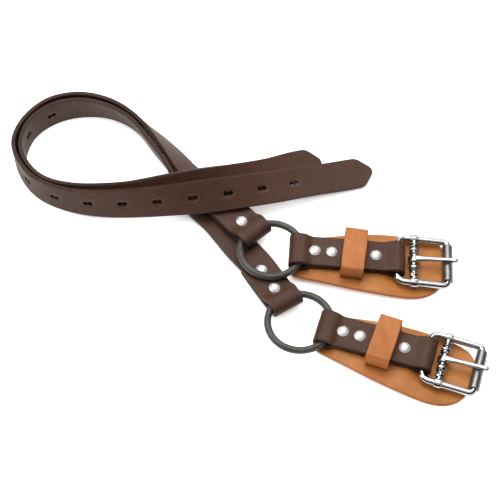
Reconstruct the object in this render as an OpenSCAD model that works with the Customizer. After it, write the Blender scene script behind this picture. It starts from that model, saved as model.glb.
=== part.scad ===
// A pair of arborist's lower climber straps. Each strap has a long punched strap folded
// round a steel ring, and a short doubled strap folded round the same ring that carries
// a sliding keeper, a double-bar roller buckle and a leather chafe pad.
// Millimetres. Z = 0 is the surface the straps lie on. Set a is the one whose tail lies
// in front. Set b is the one whose ring and buckle lie nearer the front.

/* [Strap leather] */
// Width of every dark strap
strap_w = 24; // [23:0.5:25]
// Thickness of every dark strap
strap_t = 3; // [2.8:0.1:3.1]
// Slot length along the strap
slot_l = 7.2; // [5:0.1:8]
// Slot width across the strap
slot_w = 3.8; // [3:0.1:5]
// Distance between neighbouring slots
slot_pitch = 25.4; // [20:0.1:26]
// Distance from the tip to the first slot
slot_first = 62; // [50:1:70]
// Number of slots in each long strap
slot_n = 10; // [1:1:10]
// Length of the cut corners at the tip
tip_l = 9; // [4:0.5:12]

/* [Ring] */
// Radius of the ring's centreline
ring_r = 22; // [21.5:0.1:22.5]
// Diameter of the ring's wire
ring_d = 5; // [4.6:0.1:5]

/* [Rivets] */
// Radius of a rivet head
head_r = 3.9; // [3:0.1:4]
// Height of a rivet head
head_h = 1.8; // [1:0.1:2]
// Radius of a rivet shank
shank_r = 2; // [1.5:0.05:2]
// Outer radius of a rivet burr
burr_r = 3.9; // [3:0.1:3.9]

/* [Buckle] */
// Diameter of the frame wire
frame_d = 4.8; // [4.4:0.1:4.8]
// Inner width between the two side rails
frame_in = 31; // [30.6:0.1:32]
// Diameter of the centre bar
bar_d = 4; // [3.6:0.1:4]
// Outer diameter of the roller
roller_d = 7.4; // [6.4:0.1:7.4]
// Length of the roller
roller_l = 29.2; // [20:0.1:29.3]
// Diameter of the tongue
tongue_d = 3.4; // [2.6:0.1:3.4]
// How far the frame leans down towards the pad, in degrees
frame_tilt = 3; // [0:0.5:3]

/* [Keeper] */
// Keeper length along the strap
keeper_l = 16; // [12:0.5:16]
// Keeper thickness
keeper_t = 2.4; // [2:0.1:2.4]
// Inner width of the keeper
keeper_in = 30; // [26:0.5:32]

/* [Chafe pad] */
// Pad thickness
pad_t = 3; // [2:0.1:3]
// Half of the pad's greatest width
pad_hw = 25; // [20:0.5:27]

/* [Hidden] */
$fn = 48;
eps = 0.02;
fold_c = sqrt(ring_r * ring_r - strap_w * strap_w / 4) - 0.4;
fold_i = ring_d / 2 + 0.3;
fold_o = fold_i + strap_t;
bed = -fold_o;
top_z = bed + 2 * strap_t;
mid_z = bed + strap_t;
tab_end = 57;
join_s = 44;
ring_rivet_x = [32, 49];
chape_rivet_x = [30.5, 42.3, 73.3];
gap_x = [[46.9, 68.9], [48, 70]];
keeper_x = [57.8, 59];
keeper_turn = [-4, -3];
heel_x = 88.6;
heel_i = frame_d / 2 + 0.3;
heel_o = heel_i + strap_t;
ramp = 28;
bar_x = 11.9;
front_x = 35.7;
rail_y = frame_in / 2 + frame_d / 2;
pad_x = 92;
pad_x0 = 13;
pad_r = 30.5;
pad_c = 5;

// Layout: ring centres, directions of the long strap and the chape, and how each chape
// dips from its ring to the surface.
ring_at = [[15, -7.6, 12.5], [33.9, -63.4, 8.85]];
long_dir = [131, 122];
chape_dir = [-4, -17];
chape_dip = [2, 0];
pad_shift = [-2.6, -1.5];
pad_turn = [0, -4];
shift = [7, -1.96, 0.05];

// Set a: stations from the ring to the tip: x, y, height of the lower edge, lean
// (0 stands on edge, 90 lies flat)
spine_a = [
  [-13.9, 25.6, 9.7, 90], [-21.7, 34.7, 9.5, 90], [-31, 45.5, 6, 79],
  [-44.5, 60, 3, 54], [-60, 82.5, 0, 40], [-78.5, 103.5, 0, 24],
  [-101.5, 119, 0, 12], [-127, 124.5, 0, 4], [-151, 118, 0, 0],
  [-167.5, 100, 0, 0], [-173, 78, 0, 0], [-164.5, 57.5, 0, 0],
  [-150.5, 43.5, 0, 3], [-130, 34.5, 0.5, 8], [-106.5, 30, 3, 17],
  [-77, 28.5, 7, 26], [-44, 29.5, 12, 38], [-11.5, 34.5, 14, 54],
  [16.5, 43.5, 10.5, 69], [41.5, 52, 6.5, 76], [65, 59.5, 3, 80],
  [90, 67.5, 0, 85]
];

// Set b: stations from the ring to the tip: x, y, height of the lower edge, lean
// (0 stands on edge, 90 lies flat)
spine_b = [
  [10.6, -26.1, 6, 90], [4.2, -15.9, 5.5, 90], [-6.5, -1, 2.6, 90],
  [-22, 21, 1, 85], [-37, 36.5, 0, 79], [-46.5, 48, 0, 54],
  [-57.5, 62, 0, 20], [-71.5, 82, 0, 14], [-86.5, 103, 0, 15],
  [-105.5, 115.5, 0, 13], [-127, 119, 0, 6], [-147.5, 113.5, 0, 1],
  [-163, 99, 0, 0], [-168, 77.5, 0, 0], [-160.5, 59, 0, 0],
  [-147, 46, 0, 3], [-127.5, 38.5, 1, 9], [-104.5, 35.5, 3, 18],
  [-80.5, 34, 8, 27], [-40.5, 40, 13, 37], [-11, 45, 13.5, 50],
  [13.5, 54.5, 10, 65], [32.5, 64, 6.5, 73], [52.5, 71.5, 3.5, 77]
];

// ---- strap path: a smooth curve through the stations ----
function cr(a, b, c, d, t) =
  0.5 * (2 * b + (c - a) * t + (2 * a - 5 * b + 4 * c - d) * t * t
  + (3 * b - a - 3 * c + d) * t * t * t);
function before(s, i) = i == 0 ? 2 * s[0] - s[1] : s[i - 1];
function after(s, i) = i > len(s) - 3 ? 2 * s[i + 1] - s[i] : s[i + 2];
function path(s, n) = [
  for (i = [0:len(s) - 2])
  for (k = [0:n - 1])
  cr(before(s, i), s[i], s[i + 1], after(s, i), k / n),
  s[len(s) - 1]
];
function mid(p) = [p[0], p[1],
  p[2] + strap_w / 2 * cos(p[3]) + strap_t / 2 * sin(p[3])];
function unit(v) = v / norm(v);
function tan_at(c, i) = unit(c[min(i + 1, len(c) - 1)] - c[max(i - 1, 0)]);
function out_of(t) = unit(cross(t, [0, 0, 1]));
// face: the strap's outer face normal; up: from its lower edge to its upper edge
function face_of(t, a) = cos(a) * out_of(t) + sin(a) * cross(out_of(t), t);
function up_of(t, a) = cos(a) * cross(out_of(t), t) - sin(a) * out_of(t);

// section of the strap, [up, face], with its long edges slightly broken
ce = 0.5;
hw = strap_w / 2;
ht = strap_t / 2;
section = [[ce - hw, -ht], [hw - ce, -ht], [hw, ce - ht], [hw, ht - ce],
  [hw - ce, ht], [ce - hw, ht], [-hw, ht - ce], [-hw, ce - ht]];

module band(s) {
  p = path(s, 4);
  c = [for (q = p) mid(q)];
  m = len(section);
  n = len(c);
  pts = [
    for (i = [0:n - 1])
    let (t = tan_at(c, i), u = up_of(t, p[i][3]), f = face_of(t, p[i][3]))
    let (k = i == 0 ? 0.98 : 1)
    for (q = section)
    c[i] + k * q[0] * u + k * q[1] * f
  ];
  sides = [
    for (i = [0:n - 2])
    for (j = [0:m - 1])
    let (a = i * m + j, b = i * m + (j + 1) % m)
    each [[a, a + m, b + m], [a, b + m, b]]
  ];
  start = [for (j = [0:m - 1]) j];
  end = [for (j = [0:m - 1]) n * m - 1 - j];
  polyhedron(pts, concat([start], sides, [end]), convexity = 8);
}

// children placed on the path, d mm before the tip: x along the strap, y towards the
// upper edge (negated to stay right-handed), z out of the outer face
module on_band(s, d) {
  p = path(s, 4);
  c = [for (q = p) mid(q)];
  n = len(c);
  run = [for (i = n - 1, r = 0; i >= 0; r = r + (i > 0 ? norm(c[i] - c[i - 1]) : 0), i = i - 1)
    [r, i]];
  w = lookup(d, run);
  i = min(floor(w), n - 2);
  g = w - i;
  o = c[i] * (1 - g) + c[i + 1] * g;
  t = unit(c[i + 1] - c[i]);
  a = p[i][3] * (1 - g) + p[i + 1][3] * g;
  u = -up_of(t, a);
  f = face_of(t, a);
  multmatrix([[t[0], u[0], f[0], o[0]], [t[1], u[1], f[1], o[1]],
    [t[2], u[2], f[2], o[2]], [0, 0, 0, 1]]) children();
}

module slot_cut() {
  r = slot_w / 2;
  e = slot_l / 2 - r;
  translate([0, 0, -4]) {
    translate([-e, -r, 0]) cube([2 * e, 2 * r, 8]);
    translate([-e, 0, 0]) cylinder(r = r, h = 8);
    translate([e, 0, 0]) cylinder(r = r, h = 8);
  }
}

// two cut corners that leave a blunt point at the tip
module tip_cut() {
  for (s = [-1, 1])
    translate([0, 0, -6])
      linear_extrude(12)
        polygon([[-tip_l, s * hw], [-tip_l, s * (hw + 4)], [6, s * (hw + 4)],
          [6, s * 0.6], [0, s * 1.6]]);
}

// ---- ring end of a strap: fold round the wire, lying along +x, ring centre at 0 ----
module bar(x, z, r, y = 60) {
  translate([x, y / 2, z]) rotate([90, 0, 0]) cylinder(r = r, h = y);
}

module across(points) {
  translate([0, strap_w / 2, 0])
    rotate([90, 0, 0])
      linear_extrude(strap_w)
        polygon(points);
}

module ring_fold() {
  difference() {
    bar(fold_c, 0, fold_o, strap_w);
    bar(fold_c, 0, fold_i);
    translate([fold_c, -50, -50]) cube([100, 100, 100]);
  }
}

// bores for the rivets, a seat for each head, and a pocket for each burr
module rivet_cuts(xs, top, pocket) {
  for (x = xs) {
    translate([x, 0, -30]) cylinder(r = shank_r + 0.05, h = 60);
    translate([x, 0, top]) cylinder(r = head_r + 0.2, h = 12);
    translate([x, 0, -30]) cylinder(r = burr_r + 0.2, h = 30 + pocket);
  }
}

module at_long(k) {
  translate(shift) translate(ring_at[k]) rotate([0, 0, long_dir[k]]) children();
}

module long_strap(k, s) {
  difference() {
    union() {
      at_long(k) {
        ring_fold();
        across([[fold_c, fold_i], [23.4, fold_i], [27.4, mid_z], [join_s + 3, mid_z],
          [join_s + 3, top_z], [28.94, top_z], [24.94, fold_o], [fold_c, fold_o]]);
        across([[fold_c, bed], [tab_end, bed], [tab_end, mid_z - 0.9],
          [tab_end - 8, mid_z], [fold_c, mid_z]]);
      }
      translate(shift) band(s);
    }
    at_long(k) rivet_cuts(ring_rivet_x, top_z, bed + 1.6);
    translate(shift) {
      for (i = [0:slot_n - 1])
        on_band(s, slot_first + i * slot_pitch) slot_cut();
      on_band(s, 0) tip_cut();
    }
  }
}

module long_strap_a() {
  color([0.36, 0.26, 0.22]) long_strap(0, spine_a);
}

module long_strap_b() {
  color([0.36, 0.26, 0.22]) long_strap(1, spine_b);
}

module ring(k) {
  translate(shift) translate(ring_at[k])
    rotate_extrude($fn = 96) translate([ring_r, 0]) circle(ring_d / 2);
}

module ring_a() {
  color([0.29, 0.29, 0.26]) ring(0);
}

module ring_b() {
  color([0.29, 0.29, 0.26]) ring(1);
}

// ---- rivets: a domed head and a shank; the burr is a separate washer ----
dome = (head_r * head_r + head_h * head_h) / (2 * head_h);
dome_a = asin(head_r / dome);

module rivet(x, top, foot) {
  translate([x, 0, top + eps]) {
    rotate_extrude()
      polygon(concat([[0, 0]], [for (i = [0:8])
        let (a = dome_a * (1 - i / 8))
        [dome * sin(a), dome * cos(a) - dome + head_h]]));
  }
  translate([x, 0, foot]) cylinder(r = shank_r, h = top + eps + 0.5 - foot);
}

module burr(x, pocket) {
  difference() {
    translate([x, 0, pocket - eps - 1.2]) cylinder(r = burr_r, h = 1.2);
    translate([x, 0, pocket - 5]) cylinder(r = shank_r + 0.02, h = 10);
  }
}

module strap_rivets_a() {
  color([0.8, 0.8, 0.8]) at_long(0) for (x = ring_rivet_x) rivet(x, top_z, bed + 0.2);
}

module strap_rivets_b() {
  color([0.8, 0.8, 0.8]) at_long(1) for (x = ring_rivet_x) rivet(x, top_z, bed + 0.2);
}

module strap_burrs_a() {
  color([0.7, 0.7, 0.7]) at_long(0) for (x = ring_rivet_x) burr(x, bed + 1.6);
}

module strap_burrs_b() {
  color([0.7, 0.7, 0.7]) at_long(1) for (x = ring_rivet_x) burr(x, bed + 1.6);
}

// ---- chape: short doubled strap from the ring to the buckle, along +x ----
module at_chape(k) {
  translate(shift) translate(ring_at[k]) rotate([0, 0, chape_dir[k]])
    translate([20, 0, 0]) rotate([0, chape_dip[k], 0]) translate([-20, 0, 0]) children();
}

// the two layers lie either side of the ring's plane and part round the wire and heel bar
nx = -sin(ramp);
nz = cos(ramp);
out_x = heel_x + heel_o * nx;
out_z = heel_o * nz;
in_x = heel_x + heel_i * nx;
in_z = heel_i * nz;
ramp_out = out_x - (out_z - strap_t) / tan(ramp);
ramp_in = in_x - in_z / tan(ramp);

// one layer, above the plane (s = 1) or below it (s = -1), from x0 to x1
module layer(s, x0, x1) {
  intersection() {
    across([[fold_c, s * fold_i], [22.8, s * fold_i], [28.2, 0], [ramp_in, 0],
      [in_x, s * in_z], [out_x, s * out_z], [ramp_out, s * strap_t],
      [28.9, s * strap_t], [23.5, s * fold_o], [fold_c, s * fold_o]]);
    translate([x0, -50, -50]) cube([x1 - x0, 100, 100]);
  }
}

module chape(k) {
  difference() {
    union() {
      ring_fold();
      layer(1, 0, 200);
      layer(-1, 0, gap_x[k][0]);
      layer(-1, gap_x[k][1], 200);
      difference() {
        bar(heel_x, 0, heel_o, strap_w);
        bar(heel_x, 0, heel_i);
        translate([heel_x, 0, 0])
          rotate([90, 0, 0])
            translate([0, 0, -50])
              linear_extrude(100)
                polygon([[0, 0], [20 * nx, 20 * nz], [-30, 0], [20 * nx, -20 * nz]]);
      }
    }
    for (x = chape_rivet_x) {
      translate([x, 0, -30]) cylinder(r = shank_r + 0.05, h = 60);
      translate([x, 0, strap_t]) cylinder(r = head_r + 0.2, h = 12);
    }
  }
}

module buckle_strap_a() {
  color([0.36, 0.26, 0.22]) at_chape(0) chape(0);
}

module buckle_strap_b() {
  color([0.36, 0.26, 0.22]) at_chape(1) chape(1);
}

// chafe pad: as wide as the strap at the ring, widening to a round end under the buckle;
// the rivets pull its middle up against the lower layer
pad_xs = concat([pad_x0, pad_x0 + 0.3, pad_x0 + 1.2, pad_x0 + 2.6, pad_x0 + pad_c],
  [for (x = [24:6:90]) x], [for (t = [0:6:90]) pad_x + pad_r * sin(t)]);
function pad_side(x) = x > pad_x
  ? pad_hw * pow(max(1 - pow((x - pad_x) / pad_r, 2.5), 0), 0.4)
  : pad_hw - 12 * pow((pad_x - x) / 78, 1.7);
function pad_w(x) = x < pad_x0 + pad_c
  ? pad_side(x) - pad_c + sqrt(pow(pad_c, 2) - pow(pad_x0 + pad_c - x, 2)) : pad_side(x);
pad_hi = -strap_t - 0.05;
pad_lo = -fold_o - 0.05;

module pad_plate() {
  translate([0, 60, 0])
    rotate([90, 0, 0])
      linear_extrude(120)
        polygon([[-20, pad_lo], [23.9, pad_lo], [29.3, pad_hi], [ramp_out - 0.2, pad_hi],
          [86.6, pad_lo + 0.2], [87.4, pad_lo], [160, pad_lo], [160, pad_lo - pad_t],
          [87.4, pad_lo - pad_t], [86.6, pad_lo + 0.2 - pad_t],
          [ramp_out - 0.2, pad_hi - pad_t], [29.3, pad_hi - pad_t],
          [23.9, pad_lo - pad_t], [-20, pad_lo - pad_t]]);
}

module pad(k) {
  difference() {
    intersection() {
      pad_plate();
      translate([0, pad_shift[k], -20])
        translate([30, 0, 0]) rotate([0, 0, pad_turn[k]]) translate([-30, 0, 0])
          linear_extrude(40)
            polygon(concat([for (x = pad_xs) [x, -pad_w(x)]],
              [for (i = [len(pad_xs) - 2:-1:0]) [pad_xs[i], pad_w(pad_xs[i])]]));
    }
    rivet_cuts(chape_rivet_x, strap_t, pad_hi - pad_t + 1.6);
  }
}

module chafe_pad_a() {
  color([0.78, 0.48, 0.23]) at_chape(0) pad(0);
}

module chafe_pad_b() {
  color([0.78, 0.48, 0.23]) at_chape(1) pad(1);
}

module buckle_rivets_a() {
  color([0.8, 0.8, 0.8]) at_chape(0)
    for (x = chape_rivet_x) rivet(x, strap_t, pad_hi - pad_t + 0.2);
}

module buckle_rivets_b() {
  color([0.8, 0.8, 0.8]) at_chape(1)
    for (x = chape_rivet_x) rivet(x, strap_t, pad_hi - pad_t + 0.2);
}

module buckle_burrs_a() {
  color([0.7, 0.7, 0.7]) at_chape(0)
    for (x = chape_rivet_x) burr(x, pad_hi - pad_t + 1.6);
}

module buckle_burrs_b() {
  color([0.7, 0.7, 0.7]) at_chape(1)
    for (x = chape_rivet_x) burr(x, pad_hi - pad_t + 1.6);
}

// ---- keeper: a leather loop; its lower side lies in the gap of the strap's lower layer
keep_lo = 0.05 - strap_t;
keep_hi = keep_lo + 13.2;

module round_rect(y, z0, z1, r) {
  translate([-y, z0 + r]) square([2 * y, z1 - z0 - 2 * r]);
  translate([-y + r, z0]) square([2 * y - 2 * r, z1 - z0]);
  for (sy = [-1, 1])
    for (z = [z0 + r, z1 - r])
      translate([sy * (y - r), z]) circle(r);
}

module keeper(k) {
  translate([keeper_x[k], 0, 0]) rotate([0, 0, keeper_turn[k]])
    translate([-keeper_l / 2, 0, 0]) rotate([90, 0, 90])
      linear_extrude(keeper_l)
        difference() {
          round_rect(keeper_in / 2 + keeper_t, keep_lo, keep_hi, 3.4);
          round_rect(keeper_in / 2, keep_lo + keeper_t, keep_hi - keeper_t, 1);
        }
}

module keeper_a() {
  color([0.8, 0.47, 0.27]) at_chape(0) keeper(0);
}

module keeper_b() {
  color([0.8, 0.47, 0.27]) at_chape(1) keeper(1);
}

// ---- buckle: everything in the frame's own plane, heel bar at 0, roller end at +x ----
module at_buckle(k) {
  at_chape(k) translate([heel_x, 0, 0]) rotate([0, frame_tilt, 0]) children();
}

fr = frame_d / 2;
heel_c = 5.5;
front_c = 3.2;

module corner(x, y, r, a) {
  translate([x, y, 0]) rotate([0, 0, a])
    rotate_extrude(angle = 90) translate([r, 0]) circle(fr);
}

module rail(x0, x1, y, r) {
  translate([x0, y, 0]) rotate([0, 90, 0]) cylinder(r = r, h = x1 - x0);
}

module frame() {
  bar(0, 0, fr, 2 * (rail_y - heel_c));
  bar(front_x, 0, fr, 2 * (rail_y - front_c));
  rail(heel_c, front_x - front_c, rail_y, fr);
  rail(heel_c, front_x - front_c, -rail_y, fr);
  corner(heel_c, rail_y - heel_c, heel_c, 90);
  corner(heel_c, heel_c - rail_y, heel_c, 180);
  corner(front_x - front_c, rail_y - front_c, front_c, 0);
  corner(front_x - front_c, front_c - rail_y, front_c, 270);
}

// the centre bar ends in collars round the rails and has a boss each side of the tongue
module center_bar() {
  difference() {
    union() {
      bar(bar_x, 0, bar_d / 2, 2 * rail_y);
      for (s = [-1, 1]) {
        rail(bar_x - 3.2, bar_x + 3.2, s * rail_y, fr + 1.1);
        translate([bar_x, s * 4 + 1.2, 0]) rotate([90, 0, 0]) cylinder(r = 3, h = 2.4);
        translate([bar_x, s * 12 + 1.6, 0]) rotate([90, 0, 0]) cylinder(r = 2.7, h = 3.2);
      }
    }
    rail(-10, 60, rail_y, fr + eps);
    rail(-10, 60, -rail_y, fr + eps);
  }
}

module tongue() {
  tr = tongue_d / 2;
  z0 = 3.3;
  z1 = roller_d / 2 + tr + 0.15;
  x0 = bar_x + 1.6;
  len = front_x + roller_d / 2 + 2.6 - x0;
  a = atan2(z1 - z0, front_x - x0);
  difference() {
    union() {
      bar(bar_x, 0, 4.3, 5);
      translate([x0, 0, z0]) rotate([0, 90 - a, 0])
        rotate_extrude()
          polygon(concat([[0, 0], [tr, 0]], [for (i = [0:6])
            [tr * cos(i * 14), len - tr + tr * sin(i * 14)]], [[0, len]]));
    }
    bar(bar_x, 0, bar_d / 2 + 0.06);
  }
}

module roller() {
  difference() {
    bar(front_x, 0, roller_d / 2, roller_l);
    bar(front_x, 0, fr + 0.06);
  }
}

module buckle_frame_a() {
  color([0.82, 0.82, 0.84]) at_buckle(0) frame();
}

module buckle_frame_b() {
  color([0.82, 0.82, 0.84]) at_buckle(1) frame();
}

module center_bar_a() {
  color([0.82, 0.82, 0.84]) at_buckle(0) center_bar();
}

module center_bar_b() {
  color([0.82, 0.82, 0.84]) at_buckle(1) center_bar();
}

module tongue_a() {
  color([0.82, 0.82, 0.84]) at_buckle(0) tongue();
}

module tongue_b() {
  color([0.82, 0.82, 0.84]) at_buckle(1) tongue();
}

module roller_a() {
  color([0.82, 0.82, 0.84]) at_buckle(0) roller();
}

module roller_b() {
  color([0.82, 0.82, 0.84]) at_buckle(1) roller();
}

long_strap_a();
ring_a();
strap_rivets_a();
strap_burrs_a();
buckle_strap_a();
chafe_pad_a();
buckle_rivets_a();
buckle_burrs_a();
keeper_a();
buckle_frame_a();
center_bar_a();
tongue_a();
roller_a();
long_strap_b();
ring_b();
strap_rivets_b();
strap_burrs_b();
buckle_strap_b();
chafe_pad_b();
buckle_rivets_b();
buckle_burrs_b();
keeper_b();
buckle_frame_b();
center_bar_b();
tongue_b();
roller_b();
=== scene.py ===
import bmesh
import bpy
import math
import numpy as np
from mathutils import Matrix, Vector


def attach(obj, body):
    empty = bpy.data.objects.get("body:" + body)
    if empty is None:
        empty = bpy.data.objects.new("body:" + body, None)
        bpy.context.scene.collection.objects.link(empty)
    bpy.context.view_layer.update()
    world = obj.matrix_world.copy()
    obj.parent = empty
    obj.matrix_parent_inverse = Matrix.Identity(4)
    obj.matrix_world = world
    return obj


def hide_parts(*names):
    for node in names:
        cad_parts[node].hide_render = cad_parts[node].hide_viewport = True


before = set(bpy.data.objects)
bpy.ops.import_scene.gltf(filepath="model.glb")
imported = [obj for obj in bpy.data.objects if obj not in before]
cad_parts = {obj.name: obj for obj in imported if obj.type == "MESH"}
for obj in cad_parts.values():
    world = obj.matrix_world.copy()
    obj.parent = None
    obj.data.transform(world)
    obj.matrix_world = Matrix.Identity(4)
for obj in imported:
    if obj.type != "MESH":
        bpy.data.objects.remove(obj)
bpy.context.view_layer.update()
scene = bpy.context.scene
MM = 0.001

# ---- sizes and places in millimetres, as in part.scad except where a comment says not ----
STRAP_W, STRAP_T = 24.0, 3.0
HW, HT = STRAP_W / 2, STRAP_T / 2
SLOT_L, SLOT_W, SLOT_PITCH, SLOT_FIRST, SLOT_N = 7.2, 3.8, 25.4, 62.0, 10
TIP_L = 9.0
RING_R, RING_D = 22.0, 5.0
HEAD_R, HEAD_H, SHANK_R, BURR_R = 3.9, 1.8, 2.0, 3.9
PIT_R, PIT_DEPTH = BURR_R + 0.2, 1.6
FRAME_D, FRAME_IN, TILT = 4.8, 31.0, 3.0
BAR_D, TONGUE_D = 4.0, 3.4
ROLLER_D, ROLLER_L = 7.4, 29.2
KEEPER_L, KEEPER_T, KEEPER_IN = 16.0, 2.4, 30.0
PAD_T, PAD_HW, PAD_X, PAD_X0, PAD_R, PAD_C = 3.0, 25.0, 92.0, 13.0, 30.5, 5.0
# how square the pad's corners are: near side as in the CAD, far side fuller than the CAD plate
PAD_NEAR, PAD_FAR = 2.5, (5.0, 3.2)
FOLD_C = math.sqrt(RING_R * RING_R - HW * HW) - 0.4
FOLD_M = RING_D / 2 + 0.3 + HT
BED = -FOLD_M - HT
TOP_Z = BED + 2 * STRAP_T
TAB_END, JOIN_S = 57.0, 44.0
RING_RIVETS = (32.0, 49.0)
CHAPE_RIVETS = (30.5, 42.3, 73.3)
GAP_X = ((46.9, 68.9), (48.0, 70.0))
KEEPER_X, KEEPER_TURN = (57.8, 59.0), (-4.0, -3.0)
HEEL_X, HEEL_M = 88.6, FRAME_D / 2 + 0.3 + HT
RAMP = 20.0  # gentler than the CAD's 28 degrees
BAR_X, FRONT_X = 11.9, 35.7
RAIL_Y = FRAME_IN / 2 + FRAME_D / 2
RING_AT = ((15.0, -7.6, 12.5), (33.9, -63.4, 8.85))
LONG_DIR, CHAPE_DIR, CHAPE_DIP = (131.0, 122.0), (-4.0, -17.0), (2.0, 0.0)
PAD_SHIFT, PAD_TURN = (-2.6, -1.5), (0.0, -4.0)
SHIFT = (7.0, -1.96, 0.05)
PAD_HI = -STRAP_T - 0.05
PAD_LO = BED - 0.05
KEEP_LO = 0.05 - STRAP_T
KEEP_HI = KEEP_LO + 13.2
# Stations of the long straps' tails, the same as part.scad: x, y, height of the lower edge, lean.
# They are not chosen by hand: all but the first two of each set come from a least-squares fit to
# the strap edges seen in the photo, rounded to 0.5 mm and 1 degree and then partly moved.
SPINES = (
    ((-13.9, 25.6, 9.7, 90), (-21.7, 34.7, 9.5, 90), (-31, 45.5, 6, 79), (-44.5, 60, 3, 54),
     (-60, 82.5, 0, 40), (-78.5, 103.5, 0, 24), (-101.5, 119, 0, 12), (-127, 124.5, 0, 4),
     (-151, 118, 0, 0), (-167.5, 100, 0, 0), (-173, 78, 0, 0), (-164.5, 57.5, 0, 0),
     (-150.5, 43.5, 0, 3), (-130, 34.5, 0.5, 8), (-106.5, 30, 3, 17), (-77, 28.5, 7, 26),
     (-44, 29.5, 12, 38), (-11.5, 34.5, 14, 54), (16.5, 43.5, 10.5, 69), (41.5, 52, 6.5, 76),
     (65, 59.5, 3, 80), (90, 67.5, 0, 85)),
    ((10.6, -26.1, 6, 90), (4.2, -15.9, 5.5, 90), (-6.5, -1, 2.6, 90), (-22, 21, 1, 85),
     (-37, 36.5, 0, 79), (-46.5, 48, 0, 54), (-57.5, 62, 0, 20), (-71.5, 82, 0, 14),
     (-86.5, 103, 0, 15), (-105.5, 115.5, 0, 13), (-127, 119, 0, 6), (-147.5, 113.5, 0, 1),
     (-163, 99, 0, 0), (-168, 77.5, 0, 0), (-160.5, 59, 0, 0), (-147, 46, 0, 3),
     (-127.5, 38.5, 1, 9), (-104.5, 35.5, 3, 18), (-80.5, 34, 8, 27), (-40.5, 40, 13, 37),
     (-11, 45, 13.5, 50), (13.5, 54.5, 10, 65), (32.5, 64, 6.5, 73), (52.5, 71.5, 3.5, 77)),
)


# ---- places: the same transforms as part.scad ----
def move(x, y, z):
    return Matrix.Translation((x, y, z))


def turn(axis, deg):
    return Matrix.Rotation(math.radians(deg), 4, axis)


def at_long(k):
    return move(*SHIFT) @ move(*RING_AT[k]) @ turn("Z", LONG_DIR[k])


def at_chape(k):
    m = move(*SHIFT) @ move(*RING_AT[k]) @ turn("Z", CHAPE_DIR[k])
    return m @ move(20, 0, 0) @ turn("Y", CHAPE_DIP[k]) @ move(-20, 0, 0)


def at_buckle(k):
    return at_chape(k) @ move(HEEL_X, 0, 0) @ turn("Y", TILT)


def put(m, p):
    a = np.array(m)
    return np.asarray(p, float) @ a[:3, :3].T + a[:3, 3]


def smooth(t):
    t = np.clip(t, 0.0, 1.0)
    return t * t * (3 - 2 * t)


# ---- mesh helpers: everything is built in millimetres and stored in metres ----
def link(name, verts, faces):
    me = bpy.data.meshes.new(name)
    me.from_pydata([tuple(v) for v in verts], [], faces)
    me.update()
    ob = bpy.data.objects.new(name, me)
    scene.collection.objects.link(ob)
    return ob


def coords(ob):
    v = np.empty(len(ob.data.vertices) * 3)
    ob.data.vertices.foreach_get("co", v)
    return v.reshape(-1, 3)


def set_coords(ob, v):
    ob.data.vertices.foreach_set("co", np.ascontiguousarray(v, dtype=np.float64).ravel())
    ob.data.update()


def bake(ob):
    """Applies the modifiers."""
    bpy.context.view_layer.update()
    dg = bpy.context.evaluated_depsgraph_get()
    me = bpy.data.meshes.new_from_object(ob.evaluated_get(dg))
    old = ob.data
    ob.modifiers.clear()
    ob.data = me
    bpy.data.meshes.remove(old)


def boolean(ob, others, how="DIFFERENCE"):
    for c in others:
        mod = ob.modifiers.new("cut", "BOOLEAN")
        mod.operation = how
        mod.solver = "EXACT"
        mod.object = c
    bake(ob)
    bm = bmesh.new()
    bm.from_mesh(ob.data)
    size = max(max(abs(x) for x in v.co) for v in bm.verts)
    bmesh.ops.remove_doubles(bm, verts=bm.verts, dist=size * 1e-5)
    bmesh.ops.dissolve_degenerate(bm, edges=bm.edges, dist=size * 1e-5)
    bm.to_mesh(ob.data)
    bm.free()
    for c in others:
        me = c.data
        bpy.data.objects.remove(c)
        bpy.data.meshes.remove(me)


def attribute(ob, name, values):
    a = ob.data.attributes.get(name) or ob.data.attributes.new(name, "FLOAT", "POINT")
    a.data.foreach_set("value", np.ascontiguousarray(values, dtype=np.float32))


def finish_mesh(ob, mat, body, nodes, slot_name, angle=38):
    me = ob.data
    me.shade_smooth()
    me.set_sharp_from_angle(angle=math.radians(angle))
    me.materials.clear()
    me.materials.append(mat)
    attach(ob, body)
    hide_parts(*nodes)
    return ob


def loft(rings, closed=False, cap=True):
    """Faces for equal rings of points, each running anticlockwise about the way along."""
    n, m = len(rings), len(rings[0])
    verts = [p for r in rings for p in r]
    faces = []
    for i in range(n if closed else n - 1):
        a, b = i * m, ((i + 1) % n) * m
        for j in range(m):
            k = (j + 1) % m
            faces.append((a + j, a + k, b + k, b + j))
    if cap and not closed:
        faces.append(tuple(range(m - 1, -1, -1)))
        faces.append(tuple(range((n - 1) * m, n * m)))
    return verts, faces


def revolve(profile, segs, closed=False):
    """A body of revolution about +X from (x, r) points; closed means that the profile is a loop."""
    verts, faces = [], []
    n = len(profile)
    for x, r in profile:
        for s in range(segs):
            a = 2 * math.pi * s / segs
            verts.append((x, r * math.cos(a), r * math.sin(a)))
    for i in range(n if closed else n - 1):
        a, b = i * segs, ((i + 1) % n) * segs
        for s in range(segs):
            t = (s + 1) % segs
            faces.append((a + s, a + t, b + t, b + s))
    if not closed:
        faces.append(tuple(range(segs - 1, -1, -1)))
        faces.append(tuple(range((n - 1) * segs, n * segs)))
    return verts, faces


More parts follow.
